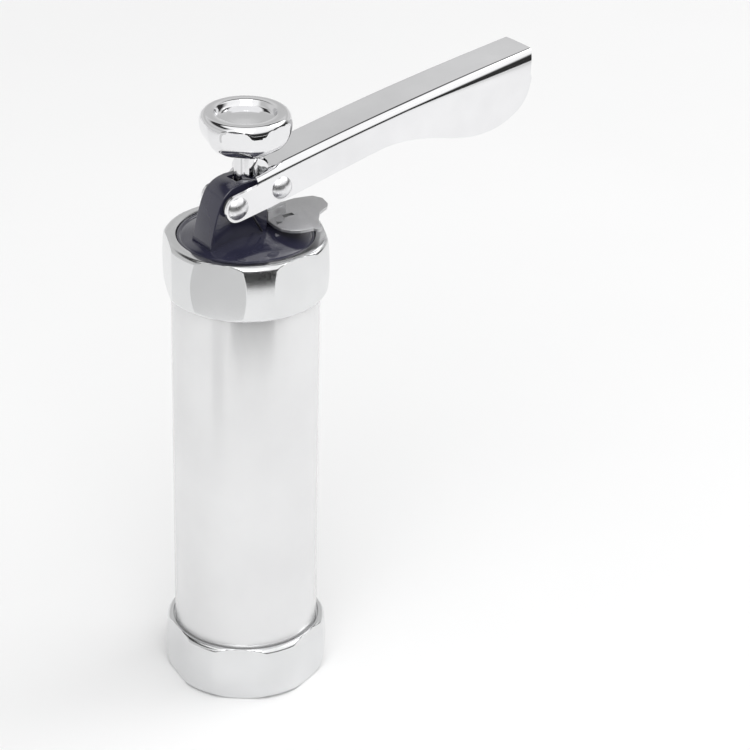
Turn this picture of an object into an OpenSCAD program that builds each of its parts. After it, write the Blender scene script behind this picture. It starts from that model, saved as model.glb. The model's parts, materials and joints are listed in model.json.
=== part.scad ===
// Lever-action cookie press, millimetres, +Z up.
// The origin is on the barrel's axis, in the plane of the bottom ring's rim.
// The lever's handle points along +X, and the barrel stands upright on its outlet.

/* [Barrel] */
// Outer diameter of the barrel tube
tube_d = 53; // [52.8:0.1:53.1]
// Wall thickness of the barrel tube
tube_wall = 1.7; // [1.6:0.05:1.8]
// Height of the top ring's upper face above the rim
barrel_h = 178.3; // [170:0.1:185]

/* [Rings] */
// Largest diameter of both ring nuts
ring_d = 60; // [59.6:0.1:61]
// Height of both ring nuts
ring_h = 21.5; // [21:0.1:22]
// Distance from the axis to each of a ring's six grip flats
ring_flat = 28.1; // [28:0.05:28.4]
// Radius of the bulge along a ring's height
ring_bulge_r = 62; // [58:1:70]
// Diameter of the outlet in the bottom ring's lip
outlet_d = 45; // [44:0.5:46]

/* [Head] */
// Width of the lever tower across the barrel
tower_w = 11.2; // [11:0.1:11.6]
// Height of the lever tower above the ring's upper face
tower_h = 22.6; // [22.2:0.1:23]

/* [Lever] */
// Width across the lever's channel
lever_w = 19; // [18.6:0.1:19.6]
// Thickness of the lever's sheet
lever_t = 1.06; // [0.9:0.02:1.2]
// Distance of the lever's tip from the barrel's axis
lever_reach = 124.5; // [123.5:0.5:128]
// Rise of the lever's web per millimetre of reach, at the barrel's axis
lever_slope = 0.19; // [0.185:0.0025:0.195]

/* [Plunger] */
// Diameter of the plunger rod
rod_d = 8.3; // [8.2:0.05:8.3]
// Distance between two teeth of the rod's rack
tooth_pitch = 2.7; // [2.5:0.05:3]
// Depth of the rack's teeth
tooth_depth = 1.2; // [0.8:0.1:1.4]
// Diameter of the pull knob
knob_d = 32.5; // [31:0.5:33]
// Height of the knob's top above the rim, with the plunger almost home
knob_top = 224.4; // [223:0.1:226]

/* [Hidden] */
$fn = 72;
SPHERE_FN = 96;
EPS = 0.01;
RUN = 0.05;          // radial clearance of every running fit
GAP = 0.3;           // clearance between curved faces that only pass each other

STEEL = [0.78, 0.78, 0.80];
CHROME = [0.90, 0.90, 0.92];
ALUMINIUM = [0.84, 0.85, 0.86];
NAVY = [0.15, 0.15, 0.22];
BRASS = [0.80, 0.68, 0.38];
PALE = [0.93, 0.93, 0.90];

tube_r = tube_d / 2;
bore_r = tube_r - tube_wall;
ring_r = ring_d / 2;
top_ring_z = barrel_h - ring_h;
lip_t = 2.5;
disc_t = 1.5;
disc_z = lip_t + RUN;
tube_z0 = disc_z + disc_t + RUN;
head_seat_z = barrel_h - 4.8;      // the tube's upper end, which the head's flange sits on
head_disc_r = 24.3;
TOP = barrel_h - 0.3;              // datum of the head, the plane of its raised rim

// Lever side view: pivot, pawl pin and the curve of the web, above TOP
PIVOT = [-10, TOP + 15.6];
PAWL = [8.8, TOP + 18.7];
pin_r = 2.25;
ear_r = 5.05;
bend_r = 3;
web_z0 = TOP + 25.45;               // web's upper face on the barrel's axis
web_arc_r = 1500;                  // the web bends very slightly down towards its tip
WEB_ARC = [web_arc_r * sin(atan(lever_slope)), web_z0 - web_arc_r * cos(atan(lever_slope))];
web_notch_r = 7.9;
bend_start_x = -1.5;
function web_z(x) = WEB_ARC[1] + sqrt(pow(web_arc_r, 2) - pow(x - WEB_ARC[0], 2));

// Selector plate: pivot, and heights above TOP
SEL = [11.5, 1];
sel_z = TOP + 3.8;
sel_t = 1.2;
sel_pin_r = 1.6;

rod_r = rod_d / 2;
piston_z = 7;
piston_h = 10;
piston_r = bore_r - GAP;
rod_shoulder_z = 14;
rod_stub_r = 3;
knob_h = 13.9;
knob_z = knob_top - knob_h;
knob_r = knob_d / 2;
knob_facet = 0.937;                // a facet's distance from the axis, as a share of the radius

// ---------- shared shapes ----------

module tube(r_out, r_in, z0, z1) {
    difference() {
        translate([0, 0, z0]) cylinder(r = r_out, h = z1 - z0);
        translate([0, 0, z0 - 1]) cylinder(r = r_in, h = z1 - z0 + 2);
    }
}

// A prism whose outline is drawn in X and Z, centred on the plane y
module side_prism(width, y = 0) {
    translate([0, y + width / 2, 0]) rotate([90, 0, 0]) linear_extrude(width) children();
}

// A cylinder along Y, from y0 to y1, about a point given in X and Z
module cross_pin(at, r, y0, y1) {
    translate([at[0], y1, at[1]]) rotate([90, 0, 0]) cylinder(r = r, h = y1 - y0);
}

// Outer radius of the barrel-shaped bulge at a height above the ring's lower face
function bulge(z) = ring_r - ring_bulge_r + sqrt(pow(ring_bulge_r, 2) - pow(z - ring_h / 2, 2));

// Barrel-shaped ring with six grip flats, its lower face at z = 0. The flats curve far
// less than the bulge, so their side edges bow outwards.
module grip_ring(turn, inner_r) {
    low_r = 2.6;
    high_r = 1.9;
    flat_curve_r = 190;
    side_h = ring_h - low_r - high_r;
    intersection() {
        rotate_extrude() polygon(concat(
            [[inner_r, 0]],
            [for (a = [-90:15:-15]) [bulge(low_r) + low_r * (cos(a) - 1), low_r * (1 + sin(a))]],
            [for (i = [0:8]) [bulge(low_r + side_h * i / 8), low_r + side_h * i / 8]],
            [for (a = [18:18:90]) [bulge(ring_h - high_r) + high_r * (cos(a) - 1),
                                   ring_h - high_r * (1 - sin(a))]],
            [[inner_r, ring_h]]));
        intersection_for (k = [0:5])
            rotate([0, 0, turn + 60 * k])
                translate([ring_flat - flat_curve_r, 0, ring_h / 2])
                    rotate([90, 0, 0]) cylinder(r = flat_curve_r, h = 2.2 * ring_d, center = true, $fn = 720);
    }
}

// Rivet along Y: plain shank between two domed heads
module rivet(at, shank_r, half, head_r, head_h) {
    dome_r = (head_r * head_r + head_h * head_h) / (2 * head_h);
    cross_pin(at, shank_r, -half - EPS, half + EPS);
    for (side = [-1, 1])
        intersection() {
            translate([at[0], side * (half + head_h - dome_r), at[1]]) sphere(r = dome_r, $fn = SPHERE_FN);
            if (side > 0) cross_pin(at, head_r, half, half + head_h + 1);
            else cross_pin(at, head_r, -half - head_h - 1, -half);
        }
}

// Round wire along a path whose steps stay near the X-Z plane
function unit(v) = v / norm(v);
function along(p, i) = unit(p[min(i + 1, len(p) - 1)] - p[max(i - 1, 0)]);
function side_of(t) = unit([0, 1, 0] - t * t[1]);
module wire(p, r, sides = 8) {
    n = len(p);
    rings = [for (i = [0:n - 1])
        let (t = along(p, i), u = side_of(t), v = cross(t, u))
        for (k = [0:sides - 1]) p[i] + r * (cos(360 * k / sides) * u + sin(360 * k / sides) * v)];
    walls = [for (i = [0:n - 2], k = [0:sides - 1])
        let (a = i * sides + k, b = i * sides + (k + 1) % sides)
        [a, a + sides, b + sides, b]];
    ends = [[for (k = [0:sides - 1]) k],
            [for (k = [sides - 1:-1:0]) (n - 1) * sides + k]];
    polyhedron(points = rings, faces = concat(walls, ends), convexity = 6);
}

// Torsion spring about a point in X and Z: straight leg, coil, straight leg
function torsion_path(at, r, y0, y1, a0, a1, leg0, leg1, step = 24) = concat(
    [[at[0] + r * cos(a0) + leg0 * sin(a0), y0, at[1] + r * sin(a0) - leg0 * cos(a0)]],
    [for (a = [a0:(a1 - a0) / ceil((a1 - a0) / step):a1 + EPS])
        [at[0] + r * cos(a), y0 + (y1 - y0) * (a - a0) / (a1 - a0), at[1] + r * sin(a)]],
    [[at[0] + r * cos(a1) - leg1 * sin(a1), y1, at[1] + r * sin(a1) + leg1 * cos(a1)]]);

// ---------- barrel ----------

module barrel_tube() {
    color(ALUMINIUM) tube(tube_r, bore_r, tube_z0, head_seat_z);
}

module top_ring_nut() {
    lip_z = head_seat_z + 2.3;
    color(ALUMINIUM) difference() {
        translate([0, 0, top_ring_z]) grip_ring(-145.7, 20);
        translate([0, 0, top_ring_z - 1]) cylinder(r = tube_r + RUN, h = lip_z - top_ring_z + 1);
        translate([0, 0, top_ring_z]) cylinder(r = head_disc_r + GAP, h = ring_h + 1);
    }
}

module bottom_ring_nut() {
    recess_depth = 1.4;
    recess_r = tube_r + 0.5;
    color(ALUMINIUM) difference() {
        grip_ring(-130, 15);
        translate([0, 0, lip_t]) cylinder(r = tube_r + RUN, h = ring_h);
        translate([0, 0, ring_h - recess_depth]) cylinder(r = recess_r, h = recess_depth + 1);
        translate([0, 0, -1]) cylinder(d = outlet_d, h = ring_h);
    }
}

// Stamped disc with a flower of six narrow slots around a small eye
module die_disc() {
    slot_w = 3.2;
    slot_from = 5.5;
    slot_to = 14.5;
    color(STEEL) difference() {
        translate([0, 0, disc_z]) cylinder(r = tube_r - 0.35, h = disc_t);
        for (k = [0:5]) rotate([0, 0, 60 * k]) translate([0, 0, disc_z - 1]) {
            translate([slot_from, -slot_w / 2, 0]) cube([slot_to - slot_from, slot_w, disc_t + 2]);
            translate([slot_from, 0, 0]) cylinder(d = slot_w, h = disc_t + 2);
            translate([slot_to, 0, 0]) cylinder(d = slot_w, h = disc_t + 2);
        }
        translate([0, 0, disc_z - 1]) cylinder(d = slot_w, h = disc_t + 2);
    }
}

// ---------- head ----------

plug_z = TOP - 13;
hub_r = 9;
bush_r = 6.5;
bush_z1 = TOP + 1;
rod_slot_r = rod_r + GAP;
dome_h = 3;
dome_edge_r = 23;
dome_r = (dome_edge_r * dome_edge_r + dome_h * dome_h) / (2 * dome_h);
dome_z = TOP - 0.4;
boss_top_z = TOP + 3.4;

// Side view of the lever tower: a leaning back, a crease, and a cap that curves into the top
module tower_outline() {
    front_x = 5.4;
    back = [[-19.6, -2], [-19.2, 1], [-18.3, 5], [-17.1, 9.5], [-15.6, 14.2], [-14.4, 17], [-13.3, 19]];
    cap = [[-12, tower_h - 2.4], [-10.2, tower_h - 1.2], [-8, tower_h - 0.4], [-5.5, tower_h]];
    translate([0, TOP]) polygon(concat([[front_x, -2]], back, cap, [[front_x, tower_h]]));
}

module head_cover() {
    brake_pocket = [2.3, 5.6];
    color(NAVY) difference() {
        union() {
            tube(bore_r - 0.1, bore_r - 2.6, plug_z, head_seat_z + EPS);
            translate([0, 0, head_seat_z]) cylinder(r = 26, h = 2.2);
            translate([0, 0, head_seat_z]) cylinder(r = head_disc_r, h = dome_z - head_seat_z);
            tube(head_disc_r, dome_edge_r, dome_z - EPS, TOP);
            intersection() {
                translate([0, 0, dome_z + dome_h - dome_r]) sphere(r = dome_r, $fn = SPHERE_FN);
                translate([0, 0, dome_z - EPS]) cylinder(r = dome_edge_r, h = dome_h + 1);
            }
            translate([0, 0, plug_z]) cylinder(r = hub_r, h = head_seat_z - plug_z + EPS);
            side_prism(tower_w) tower_outline();
            translate([SEL[0], SEL[1], plug_z]) cylinder(r = 4.2, h = boss_top_z - plug_z);
        }
        translate([0, 0, plug_z - 1]) cylinder(r = bush_r, h = bush_z1 - plug_z + 1);
        translate([0, 0, plug_z]) cylinder(r = rod_slot_r, h = 60);
        translate([0, -rod_slot_r, TOP + 9]) cube([20, 2 * rod_slot_r, 40]);
        translate([-rod_slot_r - brake_pocket[0] + 0.6, -brake_pocket[1] / 2, TOP + 9])
            cube([brake_pocket[0] + 1, brake_pocket[1], 40]);
        cross_pin(PIVOT, pin_r, -tower_w, tower_w);
        translate([SEL[0], SEL[1], plug_z - 1]) cylinder(r = sel_pin_r, h = 30);
    }
}

module rod_guide_bush() {
    color(BRASS) {
        tube(bush_r, rod_r + RUN, plug_z - 1.5, bush_z1);
        tube(bush_r + 1.8, rod_r + RUN, plug_z - 1.5, plug_z);
    }
}

// Bowed leaf that drags on the back of the rod
module rod_brake_spring() {
    leaf_w = 4;
    leaf_t = 0.6;
    bow = [[-5.55, 9], [-5.1, 12], [-rod_r - 0.1, 15.5], [-4.9, 19], [-5.4, 22]];
    color(STEEL) side_prism(leaf_w) translate([0, TOP])
        polygon(concat(bow, [for (i = [len(bow) - 1:-1:0]) bow[i] - [leaf_t, 0]]));
}

// ---------- lever ----------

// Points round the back of an ear, from below the pivot to its upper edge
function ear_arc(r, steps = 14) = [for (i = [0:steps])
    let (a = 280 + (atan(lever_slope) - 190) * i / steps) PIVOT + r * [cos(a), sin(a)]];

// Side view of the channel: a round ear behind, a thumb pad hanging below the far end
module lever_outline() {
    ear_drop = bend_r + 0.15;      // the ears' upper edge, just below the end of the bend
    low = [[50, 21.6], [56, 22.5], [61, 22.6], [66.5, 22.2], [72, 21.4], [78, 20.2], [85, 18.4],
           [91, 17.1], [97, 16.4], [103, 16.6], [108, 17.5], [113, 19.4], [118, 22.6], [121.3, 27],
           [123, 33], [lever_reach, 40]];
    polygon(concat(
        ear_arc(ear_r),
        [[bend_start_x, web_z(bend_start_x) - ear_drop],
         [bend_start_x, web_z(bend_start_x) + 1],
         [lever_reach, web_z(lever_reach) + 6]],
        [for (i = [len(low) - 1:-1:0]) [low[i][0], TOP + low[i][1]]]));
}

// Section of the bent channel, web at the top, drawn across the lever
module channel_section(depth) {
    half = lever_w / 2;
    difference() {
        union() {
            translate([-half, -depth]) square([lever_w, depth - bend_r]);
            translate([bend_r - half, -bend_r - 1]) square([lever_w - 2 * bend_r, bend_r + 1]);
            for (side = [-1, 1]) translate([side * (half - bend_r), -bend_r]) circle(r = bend_r);
        }
        inner = half - lever_t;
        translate([-inner, -depth - 1]) square([2 * inner, depth + 1 - bend_r]);
        translate([bend_r - half, -bend_r - 1]) square([lever_w - 2 * bend_r, bend_r + 1 - lever_t]);
        for (side = [-1, 1]) translate([side * (half - bend_r), -bend_r]) circle(r = bend_r - lever_t);
    }
}

// The channel, swept along the web's arc
module lever_channel() {
    depth = 34;
    back = acos((lever_reach + 4 - WEB_ARC[0]) / web_arc_r);
    ahead = acos((PIVOT[0] - 10 - WEB_ARC[0]) / web_arc_r);
    translate([WEB_ARC[0], 0, WEB_ARC[1]]) rotate([90, 0, 0]) rotate([0, 0, back])
        rotate_extrude(angle = ahead - back, $fn = 1440)
            translate([web_arc_r, 0]) rotate(-90) channel_section(depth, $fn = 64);
}

// The far ear, joggled inwards to run beside the tower; the far flange starts beside the rod
far_ear_y = tower_w / 2 + 0.15;
far_ear_r = 4.2;
far_flange_x = 1;

module far_ear() {
    y1 = far_ear_y + lever_t;
    flange_y0 = lever_w / 2 - 0.9;
    flange_y1 = lever_w / 2 - 0.15;
    joggle_x = -2.6;
    root_x = 4;
    intersection() {
        translate([0, 0, TOP]) linear_extrude(40) polygon([
            [-20, far_ear_y], [joggle_x, far_ear_y], [1.6, flange_y0], [root_x, flange_y0],
            [root_x, flange_y1], [far_flange_x, flange_y1], [joggle_x - 0.6, y1], [-20, y1]]);
        side_prism(lever_w + 2) polygon(concat(
            ear_arc(far_ear_r),
            [[root_x + 1, web_z(root_x + 1) - bend_r - 1], [root_x + 1, TOP + 13.4]]));
    }
}

module lever() {
    color(CHROME) difference() {
        union() {
            difference() {
                intersection() {
                    lever_channel();
                    side_prism(lever_w + 2) lever_outline();
                }
                translate([far_flange_x - 40, 0, TOP]) cube([40, lever_w, 60]);
            }
            far_ear();
        }
        translate([0, 0, TOP + 16]) cylinder(r = web_notch_r, h = 30);
        cross_pin(PIVOT, pin_r + RUN, -lever_w, lever_w);
        cross_pin(PAWL, pin_r, -lever_w, lever_w);
    }
}

rivet_half = lever_w / 2 + RUN;
rivet_head_r = 4.1;
rivet_head_h = 2;

// Domed head on the near ear, a low flat one on the far ear
module lever_pivot_rivet() {
    far_y = far_ear_y + lever_t + RUN;
    color(CHROME) {
        intersection() {
            rivet(PIVOT, pin_r, rivet_half, rivet_head_r, rivet_head_h);
            cross_pin(PIVOT, rivet_head_r + 1, -lever_w, far_y);
        }
        cross_pin(PIVOT, 3.3, far_y, far_y + 0.9);
    }
}

module pivot_spacer() {
    color(STEEL) difference() {
        cross_pin(PIVOT, 2.9, lever_t + RUN - lever_w / 2, -tower_w / 2);
        cross_pin(PIVOT, pin_r, -20, 20);
    }
}

// Coil on the pivot: the low leg stands on the head, the high one lifts the pawl pin
module lever_return_spring() {
    color(STEEL) wire(torsion_path(PIVOT, 3.7, -7.9, -6.2, 30, 640, 16, 18.9), 0.4);
}

module feed_pawl() {
    nose_x = rod_r + 0.45;
    color(STEEL) difference() {
        side_prism(6) union() {
            translate(PAWL) circle(r = 3.6);
            translate([0, TOP]) polygon([[7, 21.8], [nose_x + 0.3, 17.4], [nose_x, 15.4],
                                         [6, 15.15], [8.8, 15.1]]);
        }
        cross_pin(PAWL, pin_r + RUN, -10, 10);
    }
}

module pawl_rivet() {
    color(CHROME) rivet(PAWL, pin_r, rivet_half, rivet_head_r, rivet_head_h);
}

module pawl_spacers() {
    y0 = 5.2;
    y1 = lever_w / 2 - lever_t;
    color(STEEL) for (side = [-1, 1]) difference() {
        cross_pin(PAWL, 2.9, side > 0 ? y0 : -y1, side > 0 ? y1 : -y0);
        cross_pin(PAWL, pin_r, -20, 20);
    }
}

// Coil on the pawl pin: one leg under the web, the other behind the nose
module pawl_spring() {
    color(STEEL) wire(torsion_path(PAWL, 2.8, -4.75, -3.5, -120, 360, 2.2, 6.9, 30), 0.25);
}

// ---------- selector ----------

module selector_outline() {
    polygon([
        [6.9, 1], [6.6, -3.4], [5.7, -9.3], [6.1, -12.6], [7.9, -15.7], [10.7, -17.8], [14, -18.6],
        [15.6, -18.8], [16.4, -20.6], [18.4, -20.4], [19.6, -17.2], [22, -13.4], [25.6, -9.4],
        [30.4, -7.2], [32.4, -5.2], [33.6, -0.4], [31.9, 3.2], [29.2, 4.2], [25.2, 5.4], [16, 5.4],
        [12.5, 5.6], [9.6, 5.2], [7.7, 3.7]]);
}

module selector_plate() {
    wall_from = [6.4, -3.8];
    wall_to = [15.8, -1.7];
    wall_h = 3.2;
    wall_turn = atan2(wall_to[1] - wall_from[1], wall_to[0] - wall_from[0]);
    color([0.55, 0.55, 0.56]) {
        difference() {
            translate([0, 0, sel_z]) linear_extrude(sel_t) selector_outline();
            translate([SEL[0], SEL[1], sel_z - 1]) cylinder(r = sel_pin_r + RUN, h = 5);
            translate([0, 0, sel_z - 1]) linear_extrude(5) {
                polygon([[6.9, -9.2], [8.2, -6.8], [10, -8.6]]);
                translate([12.6, -6]) square([4.4, 2]);
            }
        }
        translate([wall_from[0], wall_from[1], sel_z]) rotate([0, 0, wall_turn])
            translate([0, -sel_t / 2, 0]) cube([norm(wall_to - wall_from), sel_t, sel_t + wall_h]);
        translate([8.4, -13, sel_z + sel_t - EPS]) rotate([0, 0, 10]) cube([4, 0.9, 0.5]);
        translate([26.9, -1.5, sel_z + sel_t - EPS]) cylinder(r = 0.9, h = 0.4);
    }
}

module selector_rivet() {
    head_h = 1.2;
    color(STEEL) {
        translate([SEL[0], SEL[1], plug_z - 1.5]) cylinder(r = sel_pin_r, h = sel_z + sel_t - plug_z + 2);
        translate([SEL[0], SEL[1], sel_z + sel_t + RUN]) cylinder(r = 2.6, h = head_h);
        translate([SEL[0], SEL[1], plug_z - 1.5]) cylinder(r = 2.6, h = 1.45);
    }
}

module selector_spring_washer() {
    color(STEEL) translate([SEL[0], SEL[1], 0]) tube(3.6, sel_pin_r, boss_top_z, sel_z - RUN);
}

// ---------- plunger ----------

module plunger_rod() {
    rack_z0 = 34;
    teeth = floor((knob_z - 5 - rack_z0) / tooth_pitch);
    color(CHROME) difference() {
        union() {
            translate([0, 0, rod_shoulder_z + RUN]) cylinder(r = rod_r, h = knob_z + 7 - rod_shoulder_z);
            translate([0, 0, piston_z + 0.5]) cylinder(r = rod_stub_r, h = rod_shoulder_z - piston_z);
        }
        for (i = [0:teeth - 1])
            side_prism(rod_d + 2) translate([rod_r, rack_z0 + i * tooth_pitch])
                polygon([[-tooth_depth, 0], [1, 0], [1, tooth_pitch * 0.92 + 0.9],
                         [0, tooth_pitch * 0.92]]);
    }
}

// The knob's bowl, from its foot up to its widest level; share narrows it for the facets
function knob_bowl(wide_z, share = 1) =
    let (foot_r = 8)
    [for (a = [-90:15:0]) share * [foot_r + (knob_r - foot_r) * cos(a), 0]
                          + [0, wide_z + (wide_z - knob_z) * sin(a)]];
function mirrored(points) = [for (i = [len(points) - 1:-1:0]) [-points[i][0], points[i][1]]];

// Round shoulder over a bowl with six rounded facets, and a dish in the top
module knob() {
    shoulder_r = 2.4;
    shoulder_h = 4;
    wide_z = knob_top - shoulder_h;
    dish_r = 10.7;
    dish_depth = 2.4;
    dish_floor = knob_top - dish_depth;
    facet = concat(knob_bowl(wide_z, knob_facet),
                   [[knob_facet * knob_r + 0.1, wide_z + 1.5], [knob_r, knob_top - 1], [knob_r, knob_top + 1]]);
    color(CHROME) difference() {
        intersection() {
            rotate_extrude() polygon(concat(
                [[0, knob_z]], knob_bowl(wide_z),
                [for (a = [18:18:90]) [knob_r - shoulder_r + shoulder_r * cos(a), wide_z + shoulder_h * sin(a)]],
                [[dish_r + 0.5, knob_top], [dish_r - 0.3, dish_floor + 0.4], [dish_r - 1.2, dish_floor],
                 [0, dish_floor + 0.5]]));
            intersection_for (k = [0:2])
                rotate([0, 0, -138.5 + 60 * k]) side_prism(4 * knob_r)
                    polygon(concat([[0, knob_z - 1]], facet, mirrored(facet)));
        }
        translate([0, 0, knob_z - 1]) cylinder(r = rod_r, h = 8 + RUN);
    }
}

// Cup that pushes the dough: flat face below, open above, with a hub for the rod
module piston() {
    wall = 2;
    hub = 8;
    nut_pocket_r = 7;
    nut_pocket_h = 4;
    color(PALE) difference() {
        union() {
            tube(piston_r, piston_r - wall, piston_z, piston_z + piston_h);
            translate([0, 0, piston_z]) cylinder(r = piston_r, h = 3);
            translate([0, 0, piston_z]) cylinder(r = hub, h = rod_shoulder_z - piston_z);
            for (k = [0:3]) rotate([0, 0, 45 + 90 * k])
                translate([hub - 1, -0.8, piston_z]) cube([piston_r - hub - wall + 2, 1.6, 6]);
        }
        translate([0, 0, piston_z - 1]) cylinder(r = nut_pocket_r, h = nut_pocket_h + 1);
        translate([0, 0, piston_z]) cylinder(r = rod_stub_r + RUN, h = piston_h);
    }
}

module piston_washer() {
    z1 = piston_z + 4 - RUN;
    color(STEEL) tube(6, rod_stub_r, z1 - 0.8, z1);
}

module piston_nut() {
    z1 = piston_z + 4 - RUN - 0.8;
    color(STEEL) difference() {
        translate([0, 0, z1 - 2.4]) cylinder(r = 5.77, h = 2.4, $fn = 6);
        translate([0, 0, z1 - 3]) cylinder(r = rod_stub_r, h = 4);
    }
}

// ---------- assembly ----------

barrel_tube();
top_ring_nut();
bottom_ring_nut();
die_disc();
head_cover();
rod_guide_bush();
rod_brake_spring();
lever();
lever_pivot_rivet();
pivot_spacer();
lever_return_spring();
feed_pawl();
pawl_rivet();
pawl_spacers();
pawl_spring();
selector_plate();
selector_rivet();
selector_spring_washer();
plunger_rod();
knob();
piston();
piston_washer();
piston_nut();
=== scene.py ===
"""Looks of a lever-action cookie press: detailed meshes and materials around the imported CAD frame.

Lengths in this script are millimetres in the row frame, and make_mesh() turns them into metres.
"""

import json
import math

import bpy
import bmesh
import numpy as np
from mathutils import Matrix, Vector

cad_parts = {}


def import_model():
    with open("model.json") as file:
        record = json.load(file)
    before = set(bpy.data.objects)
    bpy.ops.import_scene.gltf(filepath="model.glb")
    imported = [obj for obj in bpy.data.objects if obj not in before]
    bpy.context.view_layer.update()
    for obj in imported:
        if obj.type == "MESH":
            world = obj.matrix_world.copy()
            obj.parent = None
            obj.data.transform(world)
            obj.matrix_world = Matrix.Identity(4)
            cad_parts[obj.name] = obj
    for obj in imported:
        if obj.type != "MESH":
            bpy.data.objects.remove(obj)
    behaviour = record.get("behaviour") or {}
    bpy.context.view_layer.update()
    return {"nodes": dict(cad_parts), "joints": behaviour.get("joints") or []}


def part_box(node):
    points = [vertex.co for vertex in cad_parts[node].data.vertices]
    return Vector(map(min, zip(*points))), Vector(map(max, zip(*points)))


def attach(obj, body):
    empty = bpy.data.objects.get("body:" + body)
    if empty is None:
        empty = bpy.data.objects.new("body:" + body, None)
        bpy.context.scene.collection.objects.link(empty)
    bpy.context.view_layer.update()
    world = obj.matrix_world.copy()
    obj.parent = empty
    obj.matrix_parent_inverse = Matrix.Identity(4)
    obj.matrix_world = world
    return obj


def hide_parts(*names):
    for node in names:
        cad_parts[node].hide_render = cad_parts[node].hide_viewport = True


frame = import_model()
MM = 0.001
JOINTS = {joint["name"]: joint for joint in frame["joints"]}


def box_mm(node):
    """Lowest and highest corner of a CAD node, in millimetres."""
    low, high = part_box(node)
    return np.array(low) / MM, np.array(high) / MM


def joint_mm(name):
    """A joint's point, in millimetres."""
    return np.array(JOINTS[name]["pos_m"]) / MM


# ---------------------------------------------------------------- driving sizes

TUBE_LOW, TUBE_HIGH = box_mm("barrel_tube")
TUBE_R = TUBE_HIGH[0]
TUBE_WALL = 1.7
RING_R = 30.0
RING_H = box_mm("top_ring_nut")[1][2] - box_mm("top_ring_nut")[0][2]
TOP_RING_Z = box_mm("top_ring_nut")[0][2]
RING_BULGE = 62.0
RING_FLAT, RING_FLAT_CURVE = 28.1, 190.0
TOP = box_mm("top_ring_nut")[1][2] - 0.3
PIVOT = joint_mm("lever_press")
PAWL = joint_mm("pawl_swing")
SELECTOR = joint_mm("selector_swing")
LEVER_HALF = box_mm("lever")[1][1]
LEVER_TIP = box_mm("lever")[1][0]
LEVER_SHEET = 1.06
LEVER_BEND = 3.0
EAR_R, FAR_EAR_R = 5.05, 4.2
FAR_EAR_Y = 5.75
FAR_FLANGE_X = 1.0
TOWER_HALF = 5.6
TOWER_TOP = box_mm("head_cover")[1][2]
ROD_R = 4.15
ROD_TOOTH = 1.2
TOOTH_PITCH = 2.7
RACK_Z = 34.0
KNOB_LOW, KNOB_HIGH = box_mm("knob")
KNOB_R, KNOB_FACET = 16.25, 0.937
SELECTOR_Z, SELECTOR_T = TOP + 3.8, 1.2


# ---------------------------------------------------------------- mesh helpers

def make_mesh(name, verts, faces, material, body, slot, replaces=(), sharp=35):
    """An object in metres that rides on a CAD body and may stand for CAD nodes."""
    mesh = bpy.data.meshes.new(name)
    mesh.from_pydata([tuple(c * MM for c in v) for v in verts], [], [tuple(f) for f in faces])
    mesh.validate()
    work = bmesh.new()
    work.from_mesh(mesh)
    bmesh.ops.remove_doubles(work, verts=work.verts, dist=1e-7)
    bmesh.ops.recalc_face_normals(work, faces=work.faces)
    work.to_mesh(mesh)
    work.free()
    obj = bpy.data.objects.new(name, mesh)
    bpy.context.scene.collection.objects.link(obj)
    mesh.materials.append(material)
    mesh.shade_smooth()
    mesh.set_sharp_from_angle(angle=math.radians(sharp))
    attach(obj, body)
    if replaces:
        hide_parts(*replaces)
    return obj


def arc(centre, radius, start, end, steps):
    """Points along a circle's arc, angles in degrees."""
    angles = np.radians(np.linspace(start, end, steps + 1))
    return [(centre[0] + radius * math.cos(a), centre[1] + radius * math.sin(a)) for a in angles]


def rounded(points, steps=5):
    """A closed outline whose corners are rounded: each point is (x, y, radius)."""
    out = []
    count = len(points)
    for i in range(count):
        here = np.array(points[i][:2], float)
        radius = points[i][2]
        back = np.array(points[i - 1][:2], float) - here
        ahead = np.array(points[(i + 1) % count][:2], float) - here
        back_len, ahead_len = np.linalg.norm(back), np.linalg.norm(ahead)
        back, ahead = back / back_len, ahead / ahead_len
        half = math.acos(max(-1.0, min(1.0, float(back @ ahead)))) / 2
        if radius <= 0 or half > math.pi / 2 - 0.01:
            out.append(tuple(here))
            continue
        reach = min(radius / math.tan(half), 0.49 * back_len, 0.49 * ahead_len)
        radius = reach * math.tan(half)
        centre = here + (back + ahead) / np.linalg.norm(back + ahead) * radius / math.sin(half)
        first, last = here + back * reach - centre, here + ahead * reach - centre
        start = math.atan2(first[1], first[0])
        turn = (math.atan2(last[1], last[0]) - start + math.pi) % (2 * math.pi) - math.pi
        for k in range(steps + 1):
            a = start + turn * k / steps
            out.append((centre[0] + radius * math.cos(a), centre[1] + radius * math.sin(a)))
    return out


def revolve(profile, azimuths, radius_at=None, closed=True):
    """Vertices and faces of a profile of (radius, z) turned about Z.

    radius_at(radius, z, azimuths) may change the radius along the way, as grip flats do.
    An open profile starts and ends on the axis.
    """
    azimuths = np.asarray(azimuths)
    rows = []
    for radius, z in profile:
        reach = radius_at(radius, z, azimuths) if radius_at else np.full(len(azimuths), radius)
        rows.append(np.stack([reach * np.cos(azimuths), reach * np.sin(azimuths),
                              np.full(len(azimuths), z)], 1))
    verts = np.concatenate(rows)
    n, m = len(azimuths), len(profile)
    faces = []
    for i in range(m if closed else m - 1):
        for k in range(n):
            a, b = i * n + k, i * n + (k + 1) % n
            c, d = ((i + 1) % m) * n + (k + 1) % n, ((i + 1) % m) * n + k
            faces.append((a, b, c, d))
    return verts, faces


def full_turn(steps):
    """Evenly spaced azimuths, in radians."""
    return np.linspace(0, 2 * math.pi, steps, endpoint=False)


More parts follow.
